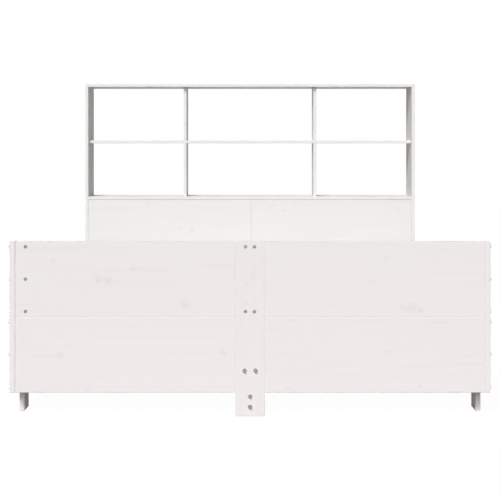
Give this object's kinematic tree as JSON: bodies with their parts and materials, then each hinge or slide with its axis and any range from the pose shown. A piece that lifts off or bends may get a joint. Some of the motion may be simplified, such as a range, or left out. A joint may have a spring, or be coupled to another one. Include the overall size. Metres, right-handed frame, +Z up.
{
  "type": "bookcase headboard bed",
  "caption": "Double bed frame with low side rails, a tall four-plank footboard with a centre plate, and an open bookcase headboard.",
  "frame": {"origin": "on the floor, at the middle of the bed's outer length and width", "axes": "+Z up, +Y from the foot towards the headboard, +X to the right seen from the foot"},
  "size_m": [2.069, 2.2934, 1.535],
  "materials": {
    "painted_pine": "satin white paint over solid pine, with faint knots and grain",
    "beech": "fluted dowel, unpainted",
    "zinc_steel": "zinc-plated steel, dull"
  },
  "bodies": {
    "root": {"barrel_nuts": "zinc_steel", "beam_leg": "painted_pine", "centre_beam": "painted_pine", "corner_angles": "zinc_steel", "corner_leg_foot_left": "painted_pine", "corner_leg_foot_right": "painted_pine", "corner_leg_head_left": "painted_pine", "corner_leg_head_right": "painted_pine", "foot_batten": "painted_pine", "foot_centre_leg": "painted_pine", "foot_centre_plate": "painted_pine", "foot_plank_lower_left": "painted_pine", "foot_plank_lower_right": "painted_pine", "foot_plank_upper_left": "painted_pine", "foot_plank_upper_right": "painted_pine", "foot_post_left": "painted_pine", "foot_post_right": "painted_pine", "head_bottom_board": "painted_pine", "head_centre_leg": "painted_pine", "head_divider_left": "painted_pine", "head_divider_right": "painted_pine", "head_panel_left": "painted_pine", "head_panel_right": "painted_pine", "head_plank_lower_left": "painted_pine", "head_plank_lower_right": "painted_pine", "head_plank_upper_left": "painted_pine", "head_plank_upper_right": "painted_pine", "head_seam_batten": "painted_pine", "head_shelf": "painted_pine", "head_top_board": "painted_pine", "leg_bolts": "zinc_steel", "leg_nuts": "zinc_steel", "plate_bolts": "zinc_steel", "side_bolts": "zinc_steel", "side_ledger_left": "painted_pine", "side_ledger_right": "painted_pine", "side_rail_left": "painted_pine", "side_rail_right": "painted_pine", "slat_left_01": "painted_pine", "slat_left_02": "painted_pine", "slat_left_03": "painted_pine", "slat_left_04": "painted_pine", "slat_left_05": "painted_pine", "slat_left_06": "painted_pine", "slat_left_07": "painted_pine", "slat_left_08": "painted_pine", "slat_left_09": "painted_pine", "slat_left_10": "painted_pine", "slat_right_01": "painted_pine", "slat_right_02": "painted_pine", "slat_right_03": "painted_pine", "slat_right_04": "painted_pine", "slat_right_05": "painted_pine", "slat_right_06": "painted_pine", "slat_right_07": "painted_pine", "slat_right_08": "painted_pine", "slat_right_09": "painted_pine", "slat_right_10": "painted_pine", "sleeve_nuts": "zinc_steel", "wood_dowels": "beech"}
  },
  "joints": []
}
